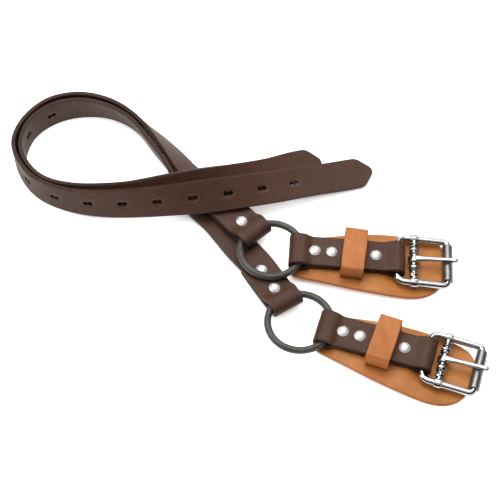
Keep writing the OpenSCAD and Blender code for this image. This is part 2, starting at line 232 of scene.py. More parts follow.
def rounded_tube(x0, x1, r_in, r_out, e, steps=5):
    """Closed (x, r) profile of a tube with rounded rims, run so that faces point outwards."""
    p = []
    q = [90 * i / steps for i in range(steps + 1)]
    p += [(x0 + e - e * math.cos(math.radians(a)), r_out - e + e * math.sin(math.radians(a))) for a in q]
    p += [(x1 - e + e * math.sin(math.radians(a)), r_out - e + e * math.cos(math.radians(a))) for a in q]
    p += [(x1 - e + e * math.cos(math.radians(a)), r_in + e - e * math.sin(math.radians(a))) for a in q]
    p += [(x0 + e - e * math.sin(math.radians(a)), r_in + e - e * math.cos(math.radians(a))) for a in q]
    return p


# ---- flat paths: (x, z) points with the outer side on the left of the way for side = 1 ----
def line(p, q, step=1.0):
    n = max(1, int(math.hypot(q[0] - p[0], q[1] - p[1]) / step))
    return [(p[0] + (q[0] - p[0]) * i / n, p[1] + (q[1] - p[1]) * i / n) for i in range(n + 1)]


def arc(c, r, a0, a1, step=5.0):
    n = max(1, int(abs(a1 - a0) / step))
    return [(c[0] + r * math.cos(math.radians(a0 + (a1 - a0) * i / n)),
             c[1] + r * math.sin(math.radians(a0 + (a1 - a0) * i / n))) for i in range(n + 1)]


def drop(c, r, phi, r2, z):
    """From the top of a circle at c down to the level z.

    It follows the circle to the slope phi, goes straight, and turns out flat."""
    f = math.radians(phi)
    p = (c + r * math.sin(f), r * math.cos(f))
    fall = p[1] - z - r2 * (1 - math.cos(f))
    q = (p[0] + fall / math.tan(f), p[1] - fall)
    pts = arc((c, 0), r, 90, 90 - phi)
    pts += line(p, q)
    pts += arc((q[0] + r2 * math.sin(f), q[1] + r2 * math.cos(f)), r2, 270 - phi, 270)
    return pts


class Path:
    """A smooth line in space with its width and outer-face directions, by distance."""

    def __init__(self, c, w, f):
        c, w, f = (np.asarray(v, float) for v in (c, w, f))
        keep = [0]
        for i in range(1, len(c)):
            if np.linalg.norm(c[i] - c[keep[-1]]) > 1e-3:
                keep.append(i)
        self.c, self.w, self.f = c[keep], w[keep], f[keep]
        self.s = np.concatenate([[0], np.cumsum(np.linalg.norm(np.diff(self.c, axis=0), axis=1))])
        self.length = self.s[-1]

    def resample(self, step, sigma=0.0):
        n = int(self.length / step) + 1
        s = np.linspace(0, self.length, n)
        c, w, f = (self._lin(v, s) for v in (self.c, self.w, self.f))
        if sigma:
            k = int(3 * sigma / step)
            g = np.exp(-0.5 * (np.arange(-k, k + 1) * step / sigma) ** 2)
            g /= g.sum()
            for a in (c, w, f):
                first, last = 2 * a[0] - a[k:0:-1], 2 * a[-1] - a[-2:-k - 2:-1]
                e = np.vstack([first, a, last])
                for j in range(3):
                    a[:, j] = np.convolve(e[:, j], g, "valid")
        return Path(c, w, f)

    def _lin(self, v, s):
        return np.stack([np.interp(s, self.s, v[:, j]) for j in range(3)], 1)

    def map(self, flat):
        s, w, n = flat[:, 0], flat[:, 1], flat[:, 2]
        c, a, b = (self._lin(v, s) for v in (self.c, self.w, self.f))
        t = np.cross(a, b)
        a = a / np.linalg.norm(a, axis=1)[:, None]
        b = np.cross(t, a)
        b = b / np.linalg.norm(b, axis=1)[:, None]
        return c + a * w[:, None] + b * n[:, None]


def planar(points, m, side):
    """Path from (x, z) points in the plane y = 0 of a place; the width runs along side * y."""
    p = np.array(points, float)
    t = np.gradient(p, axis=0)
    t /= np.maximum(np.linalg.norm(t, axis=1), 1e-9)[:, None]
    c = np.stack([p[:, 0], np.zeros(len(p)), p[:, 1]], 1)
    f = np.stack([-side * t[:, 1], np.zeros(len(p)), side * t[:, 0]], 1)
    w = np.tile([0.0, side, 0.0], (len(p), 1))
    r = np.array(m)[:3, :3]
    return put(m, c), w @ r.T, f @ r.T


def dedupe(points):
    out = [points[0]]
    for p in points[1:]:
        if math.hypot(p[0] - out[-1][0], p[1] - out[-1][1]) > 1e-4:
            out.append(p)
    return out


def tail(k, steps=14):
    """The long strap from its join with the ring end to its tip, through the stations."""
    st = np.array(SPINES[k], float)
    n = len(st)
    rows = []
    for i in range(n - 1):
        a = st[i - 1] if i else 2 * st[0] - st[1]
        d = st[i + 2] if i < n - 2 else 2 * st[i + 1] - st[i]
        b, e = st[i], st[i + 1]
        for j in range(steps):
            t = j / steps
            rows.append(0.5 * (2 * b + (e - a) * t + (2 * a - 5 * b + 4 * e - d) * t * t
                               + (3 * b - a - 3 * e + d) * t ** 3))
    rows.append(st[-1])
    rows = np.array(rows)
    lean = np.radians(rows[:, 3])
    c = np.stack([rows[:, 0], rows[:, 1], rows[:, 2] + HW * np.cos(lean) + HT * np.sin(lean)], 1)
    t = np.gradient(c, axis=0)
    t /= np.linalg.norm(t, axis=1)[:, None]
    r = np.cross(t, [0, 0, 1])
    r /= np.linalg.norm(r, axis=1)[:, None]
    up = np.cross(r, t)
    cs, sn = np.cos(lean)[:, None], np.sin(lean)[:, None]
    f = cs * r + sn * up
    w = cs * up - sn * r
    return c + np.array(SHIFT), w, f


# ---- a flat band, built lying along +X, later laid on a path ----
LINES = (0, 0.7, 1.3, 1.9, 2.4, 3.1, 4.1, 5.4, 6.9, 8.5, 9.9, 10.9)


def rim_points(h, t, e, lowest, sign):
    """One rounded side of a band's section, run from below for sign = 1 and from above for -1."""
    pts = []
    for a in (-60, -35, -10, 10, 35, 60):
        a *= sign
        up = 1 if a > 0 else -1
        if abs(a) > 20:
            b = math.radians(a)
            out, n = math.cos(b), (t - e) * up + e * math.sin(b)
        else:
            out, n = 1.0, (t - e) * 0.45 * up
        pts.append((sign * (h - e + e * out), max(n, lowest)))
    return pts


def band(name, stops, half, thick, skive=None, rim=0.7):
    """stops: distances; half(s), thick(s): half width and half thickness.

    skive(s) is taken off the inner face."""
    cross = sorted([-x for x in LINES if x] + list(LINES))
    rings = []
    for s in stops:
        h, t = half(s), thick(s)
        e = min(rim, 0.9 * h, 0.9 * t)
        lowest = -t + (skive(s) if skive else 0.0)
        k = (h - e) / (LINES[-1] + 0.001)
        pts = [(x * k, lowest) for x in cross]
        pts += rim_points(h, t, e, lowest, 1)
        pts += [(x * k, t) for x in reversed(cross)]
        pts += rim_points(h, t, e, lowest, -1)
        rings.append([(s, w, n) for w, n in pts])
    v, f = loft(rings)
    return link(name, v, f)


def slot_outline():
    """A punched slot, 0.4 mm narrower than the CAD's and waisted between its two round ends."""
    r = SLOT_W / 2 - 0.2
    e = SLOT_L / 2 - SLOT_W / 2
    pts = []
    for side in (1, -1):
        for a in range(-90, 91, 15):
            b = math.radians(a if side > 0 else a + 180)
            pts.append((side * e + r * math.cos(b), r * math.sin(b)))
        pts += [(side * e * 0.45, side * r * 0.62), (0.0, side * r * 0.5),
                (-side * e * 0.45, side * r * 0.62)]
    return pts


def prism(outline, z0, z1, x=0.0, y=0.0):
    rings = [[(px + x, py + y, z) for px, py in outline] for z in (z0, z1)]
    return loft(rings)


def merged(parts, name):
    v, f = [], []
    for pv, pf in parts:
        o = len(v)
        v += [tuple(p) for p in pv]
        f += [tuple(i + o for i in q) for q in pf]
    return link(name, v, f)


def disc(r, n=32):
    return [(r * math.cos(2 * math.pi * i / n), r * math.sin(2 * math.pi * i / n)) for i in range(n)]


# ---- materials ----
def shader(name):
    mat = bpy.data.materials.new(name)
    mat.use_nodes = True
    nt = mat.node_tree
    nt.nodes.clear()
    out = nt.nodes.new("ShaderNodeOutputMaterial")
    bsdf = nt.nodes.new("ShaderNodeBsdfPrincipled")
    nt.links.new(bsdf.outputs["BSDF"], out.inputs["Surface"])
    tc = nt.nodes.new("ShaderNodeTexCoord")
    return mat, nt, bsdf, tc.outputs["Object"]


def stretched(nt, vec, scale, rot=0.0):
    m = nt.nodes.new("ShaderNodeMapping")
    m.inputs["Scale"].default_value = scale
    m.inputs["Rotation"].default_value = (0, 0, math.radians(rot))
    nt.links.new(vec, m.inputs["Vector"])
    return m.outputs["Vector"]


def noise(nt, vec, scale, detail=3.0, rough=0.5):
    n = nt.nodes.new("ShaderNodeTexNoise")
    n.inputs["Scale"].default_value = scale
    n.inputs["Detail"].default_value = detail
    n.inputs["Roughness"].default_value = rough
    nt.links.new(vec, n.inputs["Vector"])
    return n.outputs["Fac"]


def cells(nt, vec, scale):
    n = nt.nodes.new("ShaderNodeTexVoronoi")
    n.feature = "SMOOTH_F1"
    n.inputs["Scale"].default_value = scale
    n.inputs["Smoothness"].default_value = 0.6
    nt.links.new(vec, n.inputs["Vector"])
    return n.outputs["Distance"]


def span(nt, fac, lo, hi, a=0.3, b=0.7):
    m = nt.nodes.new("ShaderNodeMapRange")
    m.inputs["From Min"].default_value = a
    m.inputs["From Max"].default_value = b
    m.inputs["To Min"].default_value = lo
    m.inputs["To Max"].default_value = hi
    nt.links.new(fac, m.inputs["Value"])
    return m.outputs["Result"]


def mix(nt, fac, a, b, how="MIX"):
    m = nt.nodes.new("ShaderNodeMix")
    m.data_type = "RGBA"
    m.blend_type = how
    for socket, value in ((m.inputs[0], fac), (m.inputs[6], a), (m.inputs[7], b)):
        if isinstance(value, (int, float)):
            socket.default_value = value
        elif isinstance(value, tuple):
            socket.default_value = (*value, 1.0)
        else:
            nt.links.new(value, socket)
    return m.outputs[2]


def math_node(nt, op, a, b):
    m = nt.nodes.new("ShaderNodeMath")
    m.operation = op
    for socket, value in ((m.inputs[0], a), (m.inputs[1], b)):
        if isinstance(value, (int, float)):
            socket.default_value = value
        else:
            nt.links.new(value, socket)
    return m.outputs[0]


def named(nt, name):
    a = nt.nodes.new("ShaderNodeAttribute")
    a.attribute_name = name
    return a.outputs["Fac"]


def bump(nt, bsdf, height, strength, distance, then=None):
    b = nt.nodes.new("ShaderNodeBump")
    b.inputs["Strength"].default_value = strength
    b.inputs["Distance"].default_value = distance
    nt.links.new(height, b.inputs["Height"])
    if then is not None:
        nt.links.new(then, b.inputs["Normal"])
    nt.links.new(b.outputs["Normal"], bsdf.inputs["Normal"])
    return b.outputs["Normal"]


def dark_leather():
    mat, nt, bsdf, vec = shader("dark_strap_leather")
    big = noise(nt, vec, 22, 3)
    fine = noise(nt, vec, 900, 4, 0.6)
    grain = noise(nt, vec, 520, 2, 0.5)
    pores = cells(nt, vec, 1500)
    col = mix(nt, span(nt, big, 0, 1), (0.054, 0.0228, 0.0122), (0.071, 0.032, 0.0185))
    col = mix(nt, span(nt, fine, 0.0, 0.55, 0.35, 0.75), col, (0.05, 0.021, 0.014))
    col = mix(nt, span(nt, grain, 0.0, 0.36, 0.42, 0.72), col, (0.1, 0.051, 0.032))
    edge = named(nt, "edge")
    col = mix(nt, math_node(nt, "MULTIPLY", edge, 0.75), col, (0.03, 0.012, 0.008))
    # painted highlight: the lighter, greyer colour mixed in here stands in for sheen round the slot
    # mouths and along the strap edges
    painted_highlight = named(nt, "painted_highlight")
    painted_highlight_fac = math_node(nt, "MULTIPLY", painted_highlight, span(nt, noise(nt, vec, 260, 3), 0.15, 0.75))
    col = mix(nt, painted_highlight_fac, col, (0.13, 0.075, 0.058))
    nt.links.new(col, bsdf.inputs["Base Color"])
    nt.links.new(span(nt, noise(nt, vec, 70, 4), 0.5, 0.62), bsdf.inputs["Roughness"])
    first = bump(nt, bsdf, pores, 0.16, 0.00012)
    bump(nt, bsdf, math_node(nt, "ADD", fine, grain), 0.18, 0.0002, first)
    bsdf.inputs["Specular IOR Level"].default_value = 0.22
    return mat


def tan_leather(name, light, dark, edge_colour, along, rough):
    mat, nt, bsdf, vec = shader(name)
    big = noise(nt, vec, 48, 4, 0.6)
    streak = noise(nt, stretched(nt, vec, along[0], along[1]), 1.0, 5, 0.65)
    pores = cells(nt, vec, 1900)
    fine = noise(nt, vec, 1400, 3, 0.6)
    col = mix(nt, span(nt, big, 0, 1, 0.32, 0.68), light, dark)
    col = mix(nt, span(nt, streak, 0.0, 0.5, 0.45, 0.75), col, tuple(c * 0.72 for c in dark))
    col = mix(nt, span(nt, fine, 0.0, 0.3, 0.5, 0.8), col, tuple(c * 0.6 for c in dark))
    edge = named(nt, "edge")
    col = mix(nt, math_node(nt, "MULTIPLY", edge, 0.8), col, edge_colour)
    nt.links.new(col, bsdf.inputs["Base Color"])
    nt.links.new(span(nt, big, rough - 0.07, rough + 0.07), bsdf.inputs["Roughness"])
    first = bump(nt, bsdf, pores, 0.2, 0.0001)
    bump(nt, bsdf, streak, 0.2, 0.0002, first)
    bsdf.inputs["Specular IOR Level"].default_value = 0.3
    return mat


def metal(name, light, dark, rough, metallic, scale, height, distance=0.0001):
    mat, nt, bsdf, vec = shader(name)
    big = noise(nt, vec, scale, 4, 0.6)
    fine = noise(nt, vec, scale * 7, 3, 0.6)
    col = mix(nt, span(nt, big, 0, 1), light, dark)
    nt.links.new(col, bsdf.inputs["Base Color"])
    nt.links.new(span(nt, fine, rough[0], rough[1]), bsdf.inputs["Roughness"])
    bump(nt, bsdf, fine, height, distance)
    bsdf.inputs["Metallic"].default_value = metallic
    return mat


M_STRAP = dark_leather()
M_PAD = tan_leather("tan_pad_leather", (0.5, 0.185, 0.038), (0.4, 0.135, 0.025),
                    (0.33, 0.085, 0.016), ((35, 160, 160), -10), 0.52)
M_KEEPER = tan_leather("orange_keeper_leather", (0.5, 0.165, 0.034), (0.4, 0.122, 0.024),
                       (0.43, 0.135, 0.029), ((220, 60, 60), -8), 0.5)
M_RING = metal("dull_dark_steel", (0.074, 0.069, 0.058), (0.043, 0.041, 0.034),
               (0.42, 0.56), 0.3, 220, 0.25)
M_RIVET = metal("nickel_plate", (0.95, 0.935, 0.915), (0.88, 0.86, 0.84),
                (0.48, 0.58), 0.9, 160, 0.1)
M_BURR = metal("washer_steel", (0.62, 0.61, 0.58), (0.48, 0.47, 0.45),
               (0.3, 0.45), 1.0, 260, 0.2)
M_ROLLER = metal("satin_roller_steel", (0.25, 0.24, 0.235), (0.18, 0.175, 0.17),
                 (0.34, 0.44), 1.0, 240, 0.08)
M_CHROME = metal("bright_chrome", (0.5, 0.5, 0.5), (0.41, 0.41, 0.41),
                 (0.08, 0.16), 1.0, 300, 0.03)


# ---- straps ----
def stops_along(length, fine, spacing=2.0, near=6.5, close=0.6, ends=()):
    s = list(np.arange(0, length, spacing)) + [length]
    for c in fine:
        s += list(np.arange(c - near, c + near + 0.01, close))
    s += list(ends)
    s = sorted(x for x in s if 0 <= x <= length)
    out = [s[0]]
    for x in s[1:]:
        if x - out[-1] > 0.24:
            out.append(x)
    out[-1] = length
    return out


def long_path(k):
    pts = line((TAB_END, -FOLD_M), (FOLD_C, -FOLD_M))
    pts += arc((FOLD_C, 0), FOLD_M, -90, -270)
    pts += line((FOLD_C, FOLD_M), (RING_R, FOLD_M))
    pts += drop(RING_R - 0.4, FOLD_M, 40, 5.0, TOP_Z - HT)
    pts += line(pts[-1], (JOIN_S, TOP_Z - HT))
    c, w, f = planar(dedupe(pts), at_long(k), 1)
    c2, w2, f2 = tail(k)
    path = Path(np.vstack([c, c2[1:]]), np.vstack([w, w2[1:]]), np.vstack([f, f2[1:]]))
    return path.resample(0.5, 0.9)


def seat(v, m, xs, level, rows):
    """Presses the outer face of a strap down under its rivet heads."""
    inv = np.array(Matrix(m).inverted())
    loc = v @ inv[:3, :3].T + inv[:3, 3]
    for x in xs:
        d = np.hypot(loc[:, 0] - x, loc[:, 1])
        on = rows & (d < 12)
        cap = level - 0.12 + np.maximum(0, d - HEAD_R - 0.15) * 1.2
        z = np.where(on, np.minimum(loc[:, 2], cap), loc[:, 2])
        loc[:, 2] = z - np.where(on, 0.1 * np.exp(-((np.maximum(d - HEAD_R, 0)) / 2.6) ** 2), 0)
    return put(m, loc)


def long_strap(k, tag):
    path = long_path(k)
    length = path.length
    holes = [length - SLOT_FIRST - i * SLOT_PITCH for i in range(SLOT_N)]

    def half(s):
        d = length - s
        h = HW + 0.15 * math.sin(s * 0.043 + k) + 0.1 * math.sin(s * 0.11)
        slope = 2.2 + max(d, 0) * (HW - 2.2) / TIP_L
        g = 1.3
        h = h - g * math.log(1 + math.exp((h - slope) / g)) if abs(h - slope) < 30 else min(h, slope)
        h *= math.sqrt(max(1 - max(1 - d / 1.1, 0) ** 2, 0.02))
        if s < 0.7:
            h -= 0.5 * (1 - s / 0.7) ** 2
        fold = math.exp(-((s - 46) / 9) ** 2)
        return h - 0.45 * fold

    def thick(s):
        d = min(length - s, s)
        return HT - 0.45 * max(0, 1 - d / 0.8) ** 2

    def skive(s):
        return 0.9 * max(0, 1 - s / 8)

    tip = (0.25, 0.5, 0.8, 1.2, 2, 3, 4, 5, 6, 7, 7.7, 8.3, 9, 9.7, 10.4, 11.2, 12.5)
    ends = [0.25, 0.7] + [length - x for x in tip]
    ob = band("strap_%s" % tag, stops_along(length, holes, ends=ends), half, thick, skive)
    cut = merged([prism(slot_outline(), -4, 4, x) for x in holes], "slots")
    boolean(ob, [cut])
    flat = coords(ob)
    # the punch leaves each slot's mouth a little pulled in
    near = np.full(len(flat), 99.0)
    for x in holes:
        dx = np.maximum(np.abs(flat[:, 0] - x) - (SLOT_L - SLOT_W) / 2, 0)
        near = np.minimum(near, np.hypot(dx, flat[:, 1]) - SLOT_W / 2)
    lip = np.exp(-(np.maximum(near, 0) / 0.75) ** 2)
    face = np.abs(flat[:, 2]) > HT * 0.8
    sign = np.sign(flat[:, 2])
    edge = np.clip((np.abs(flat[:, 1]) - (HW - 0.75)) / 0.5, 0, 1)
    tip = np.clip((flat[:, 0] - (length - 0.7)) / 0.4, 0, 1)
    flat[:, 2] -= np.where(face, sign * 0.42 * lip, 0)
    cut = np.where(near < 0.12, 1.0, 0.0)
    attribute(ob, "edge", np.clip(np.maximum(np.maximum(edge, tip), cut), 0, 1))
    # painted highlight: a ring round each slot mouth and a band just inside both edges, lightened in the
    # strap colour
    ring = np.where((near > 0.05) & (near < 1.6), np.exp(-((near - 0.6) / 0.45) ** 2), 0)
    border = np.exp(-((np.abs(flat[:, 1]) - (HW - 0.55)) / 0.3) ** 2)
    attribute(ob, "painted_highlight", np.clip(ring * 0.7 + 0.5 * border, 0, 1))
    # small unevenness of real leather
    wave = 0.12 * np.sin(flat[:, 0] * 0.09 + 2.0 * k) * np.sin(flat[:, 1] * 0.22 + 1.0)
    flat[:, 2] += wave
    v = path.map(flat)
    top = (flat[:, 0] > 57) & (flat[:, 0] < 112) & (flat[:, 2] > 0.4)
    v = seat(v, at_long(k), RING_RIVETS, TOP_Z, top)
    set_coords(ob, v * MM)
    pits = []
    for x in RING_RIVETS:
        pv, pf = prism(disc(PIT_R), BED - 3, BED + PIT_DEPTH, x)
        pits.append(([tuple(p * MM) for p in put(at_long(k), pv)], pf))
    boolean(ob, [merged(pits, "pits")])
    finish_mesh(ob, M_STRAP, "long_straps", ["long_strap_%s" % tag], "strap_leather")
    return ob


def chape(k, tag):
    """Short doubled strap: its two ends stop either side of the keeper, in the lower layer."""
    low = -HT
    fall = drop(RING_R - 0.2, FOLD_M, 30, 7.0, HT)
    f = math.radians(RAMP)
    q = (HEEL_X - HEEL_M * math.sin(f), HEEL_M * math.cos(f))
    r3 = 8.0
    rise = q[1] - HT - r3 * (1 - math.cos(f))
    p = (q[0] - rise / math.tan(f), q[1] - rise)
    start = p[0] - r3 * math.sin(f)
    up = arc((start, HT + r3), r3, 270, 270 + RAMP) + line(p, q)
    pts = line((GAP_X[k][1], low), (start, low))
    pts += [(x, -z) for x, z in up]
    pts += arc((HEEL_X, 0), HEEL_M, -90 - RAMP, 90 + RAMP)
    pts += list(reversed(up))
    pts += line((start, HT), fall[-1])
    pts += list(reversed(fall))
    pts += line((RING_R, FOLD_M), (FOLD_C, FOLD_M))
    pts += arc((FOLD_C, 0), FOLD_M, 90, 270)
    pts += line((FOLD_C, -FOLD_M), (RING_R, -FOLD_M))
    pts += [(x, -z) for x, z in fall]
    pts += line((fall[-1][0], low), (GAP_X[k][0], low))
    c, w, n = planar(dedupe(pts), at_chape(k), -1)
    path = Path(c, w, n).resample(0.4, 0.8)
    length = path.length
    xs = np.interp(np.linspace(0, length, 400), path.s, put(at_chape(k).inverted(), path.c)[:, 0])

    def half(s):
        x = float(np.interp(s, np.linspace(0, length, 400), xs))
        h = HW - 0.05
        h += 0.5 * math.exp(-((x - 15) / 7) ** 2) + 0.5 * math.exp(-((x - 92) / 7) ** 2)
        for r in CHAPE_RIVETS:
            h -= 0.28 * math.exp(-((x - r) / 6) ** 2)
        d = min(s, length - s)
        return h - (0.45 * (1 - d / 0.7) ** 2 if d < 0.7 else 0)

    def thick(s):
        d = min(s, length - s)
        return HT - 0.02 - (0.45 * (1 - d / 0.7) ** 2 if d < 0.7 else 0)

    stops = stops_along(length, (), spacing=0.9, ends=(0.25, 0.7, length - 0.7, length - 0.25))
    ob = band("buckle_strap_skin_%s" % tag, stops, half, thick, rim=0.8)
    flat = coords(ob)
    edge = np.clip((np.abs(flat[:, 1]) - (HW - 0.85)) / 0.5, 0, 1)
    attribute(ob, "edge", edge)
    # painted highlight: a band just inside both edges, lightened in the strap colour
    attribute(ob, "painted_highlight", 0.55 * np.exp(-((np.abs(flat[:, 1]) - (HW - 0.6)) / 0.35) ** 2))
    v = path.map(flat)
    # the top layer's outer face, which the rivet heads press down
    inv = np.array(at_chape(k).inverted())
    loc = v @ inv[:3, :3].T + inv[:3, 3]
    rows = loc[:, 2] > HT
    v = seat(v, at_chape(k), CHAPE_RIVETS, STRAP_T, rows)
    set_coords(ob, v * MM)
    finish_mesh(ob, M_STRAP, "chape_%s" % tag, ["buckle_strap_%s" % tag], "strap_leather")
    return ob


# ---- chafe pads ----
def pad_top(x, y):
    """Height of the pad's upper face: the middle follows the strap, the free edges bend more gently."""
    middle = smooth((x - 22.8) / 6.7) - smooth((x - 79.0) / 8.5)
    edge = smooth((x - 15.0) / 30.0) - smooth((x - 68.0) / 44.0)
    m = smooth((np.abs(y) - 12.4) / 6.5)
    return PAD_LO + (PAD_HI - PAD_LO) * (middle * (1 - m) + edge * m)


def pad_side(x, full):
    if x > PAD_X:
        return PAD_HW * max(1 - ((x - PAD_X) / PAD_R) ** full, 0) ** (1 / full)
    w = PAD_HW - 12 * ((PAD_X - x) / 78) ** 1.7
    if x < PAD_X0 + PAD_C:
        w += math.sqrt(max(PAD_C ** 2 - (PAD_X0 + PAD_C - x) ** 2, 0)) - PAD_C
    return w


def half_outline(sign, full, n=120):
    """Evenly spaced points along one side, from the middle of the ring end to the far end."""
    xs = [PAD_X0 + PAD_C * (1 - math.cos(math.radians(a))) for a in range(0, 91, 3)]
    xs += list(np.arange(PAD_X0 + PAD_C + 0.5, PAD_X, 0.5))
    xs += [PAD_X + PAD_R * math.sin(math.radians(a)) for a in np.arange(0, 90.01, 0.5)]
    p = np.array([(PAD_X0, 0.0)] + [(x, sign * pad_side(x, full)) for x in xs])
    p[-1, 1] = 0.0
    s = np.concatenate([[0], np.cumsum(np.linalg.norm(np.diff(p, axis=0), axis=1))])
    t = np.linspace(0, s[-1], n + 1)
    return np.stack([np.interp(t, s, p[:, 0]), np.interp(t, s, p[:, 1])], 1)


def pad_outline(full):
    """Points round the pad, anticlockwise from the middle of the ring end."""
    low, high = half_outline(-1, PAD_NEAR), half_outline(1, full)
    return np.vstack([low[:-1], high[:0:-1]])


def pad(k, tag):
    rim = 0.9
    out = pad_outline(PAD_FAR[k])
    d = np.roll(out, -1, 0) - np.roll(out, 1, 0)
    d /= np.linalg.norm(d, axis=1)[:, None]
    inward = np.stack([-d[:, 1], d[:, 0]], 1)
    spine = np.stack([np.clip(out[:, 0], 26, 100), np.zeros(len(out))], 1)
    levels = []
    steps = [i * 15 for i in range(7)]
    for f in (0.97, 0.85, 0.7, 0.55, 0.4, 0.28, 0.18, 0.1, 0.05, 0.02):
        levels.append((f, rim, -PAD_T))
    for a in steps:
        b = math.radians(a)
        levels.append((0, rim - rim * math.sin(b), -PAD_T + rim - rim * math.cos(b)))
    for a in steps:
        b = math.radians(a)
        levels.append((0, rim - rim * math.cos(b), -rim + rim * math.sin(b)))
    for f in (0.02, 0.05, 0.1, 0.18, 0.28, 0.4, 0.55, 0.7, 0.85, 0.97):
        levels.append((f, rim, 0.0))
    rows = []
    for f, inset, z in levels:
        p = out + inward * inset
        p = p + (spine - p) * f
        rows.append([(x, y, z) for x, y in p])
    v, f = loft(rows, cap=False)
    n, m = len(rows), len(out)
    # the middle strip of each face, between the two sides of the innermost ring
    h, j0, j1 = m // 2, 12, 8
    strip = [[j % m for j in range(m - j0, m + j0 + 1)], list(range(h - j1, h + j1 + 1))]
    strip += [[j, j + 1, m - j - 1, m - j] for j in range(j0, h - j1)]
    f += [tuple(reversed(q)) for q in strip]
    f += [tuple((n - 1) * m + j for j in q) for q in strip]
    ob = link("pad_%s" % tag, v, f)
    v = coords(ob)
    m4 = move(0, PAD_SHIFT[k], 0) @ move(30, 0, 0) @ turn("Z", PAD_TURN[k]) @ move(-30, 0, 0)
    v = put(m4, v)
    set_coords(ob, v)
    pits = []
    for x in CHAPE_RIVETS:
        pits.append(prism(disc(PIT_R), -PAD_T - 2, -PAD_T + PIT_DEPTH, x))
    boolean(ob, [merged(pits, "pits")])
    v = coords(ob)
    under = np.clip((-v[:, 2] - 0.12) / 0.5, 0, 1)
    attribute(ob, "edge", under * np.clip((v[:, 2] + PAD_T - 0.12) / 0.5, 0, 1))
    v[:, 2] += pad_top(v[:, 0], v[:, 1])
    set_coords(ob, put(at_chape(k), v) * MM)
    finish_mesh(ob, M_PAD, "chape_%s" % tag, ["chafe_pad_%s" % tag], "pad_leather")
    return ob


# ---- keepers ----
def keeper(k, tag):
    hw_out = KEEPER_IN / 2 + KEEPER_T

    def loop(inset, r):
        y, z0, z1 = hw_out - inset, KEEP_LO + inset, KEEP_HI - inset
        pts = []
        for sy, sz, a0 in ((1, -1, -90), (1, 1, 0), (-1, 1, 90), (-1, -1, 180)):
            cy, cz = sy * (y - r), (z1 - r) if sz > 0 else (z0 + r)
            for i in range(7):
                a = math.radians(a0 + 90 * i / 6)
                pts.append((cy + r * math.cos(a), cz + r * math.sin(a)))
        out = []
        for i, p in enumerate(pts):
            n = pts[(i + 1) % len(pts)]
            out.append(p)
            gap = math.hypot(n[0] - p[0], n[1] - p[1])
            if gap > 3:
                m = 14 if gap > 12 else 6
                out += [(p[0] + (n[0] - p[0]) * j / m, p[1] + (n[1] - p[1]) * j / m)
                        for j in range(1, m)]
        return out

    outer, inner = loop(0.0, 2.3), loop(KEEPER_T, 0.7)
    e = 0.55
    stations = []
    half = KEEPER_L / 2
    for i in range(0, 4):
        a = math.radians(90 * i / 3)
        stations.append((-half + e - e * math.cos(a), e - e * math.sin(a)))
    stations += [(-half + e + (KEEPER_L - 2 * e) * i / 10, 0.0) for i in range(1, 10)]
    for i in range(3, -1, -1):
        a = math.radians(90 * i / 3)
        stations.append((half - e + e * math.cos(a), e - e * math.sin(a)))
    verts, faces = [], []

    def wobble(x, y, z):
        t = smooth((z - 0) / 9.0)
        ends = 0.14 * math.sin(0.13 * y + 1.2 + k) * (1 if x > 0 else -1)
        x += t * (ends + 0.1 * math.sin(0.17 * y + k * 2))
        high = max(0.0, min(1.0, (z - 5.5) / 3))
        sag = 0.3 * math.cos(min(abs(y), 18) / 18 * math.pi / 2)
        z -= high * (sag + 0.05 * math.sin(0.5 * x + 0.3 * y))
        side = max(0.0, min(1.0, (abs(y) - 14.5) / 1.5))
        bulge = 0.28 * math.sin(math.pi * (z + 3) / 13.2) * (-1 if z < -1 else 1)
        y += (1 if y > 0 else -1) * side * bulge
        return (x, y, z)

    m = len(outer)
    for near, far in ((outer, inner), (inner, outer)):
        for x, d in stations:
            f = d / KEEPER_T
            verts += [wobble(x, a[0] + (b[0] - a[0]) * f, a[1] + (b[1] - a[1]) * f)
                      for a, b in zip(near, far)]
    n = len(stations)
    for i in range(n - 1):
        for j in range(m):
            j2 = (j + 1) % m
            a, b = i * m, (i + 1) * m
            faces.append((a + j, a + j2, b + j2, b + j))
            a, b = (n + i) * m, (n + i + 1) * m
            faces.append((a + j2, a + j, b + j, b + j2))
    for i, flip in ((0, True), (n - 1, False)):
        for j in range(m):
            j2 = (j + 1) % m
            a, b = i * m, (n + i) * m
            q = (a + j, a + j2, b + j2, b + j)
            faces.append(q if not flip else tuple(reversed(q)))
    ob = link("loop_keeper_%s" % tag, verts, faces)
    edges = []
    for x, d in stations + stations:
        edges += [1.0 if d > 0.02 or abs(x) > half - e - 0.01 else 0.0] * m
    attribute(ob, "edge", edges)
    v = coords(ob)
    v = put(move(KEEPER_X[k], 0, 0) @ turn("Z", KEEPER_TURN[k]), v)
    set_coords(ob, put(at_chape(k), v) * MM)
    finish_mesh(ob, M_KEEPER, "keeper_%s" % tag, ["keeper_%s" % tag], "keeper_leather", 50)
    return ob


# ---- metal ----
def place(name, v, f, m, mat, body, nodes, slot_name, angle=38):
    ob = link(name, [tuple(p * MM) for p in put(m, v)], f)
    return finish_mesh(ob, mat, body, nodes, slot_name, angle)


def rings(k, tag):
    rows = []
    for i in range(144):
        a = 2 * math.pi * i / 144
        row = []
        for j in range(28):
            b = 2 * math.pi * j / 28
            r = RING_D / 2 * (1 + 0.006 * math.sin(5 * a + 3 * b + k))
            out = RING_R + r * math.cos(b)
            row.append((out * math.cos(a), out * math.sin(a), r * math.sin(b)))
        rows.append(row)
    v, f = loft([list(reversed(r)) for r in rows], closed=True)
    return place("round_ring_%s" % tag, v, f, move(*SHIFT) @ move(*RING_AT[k]), M_RING, "ring_%s" % tag,
                 ["ring_%s" % tag], "ring_steel")


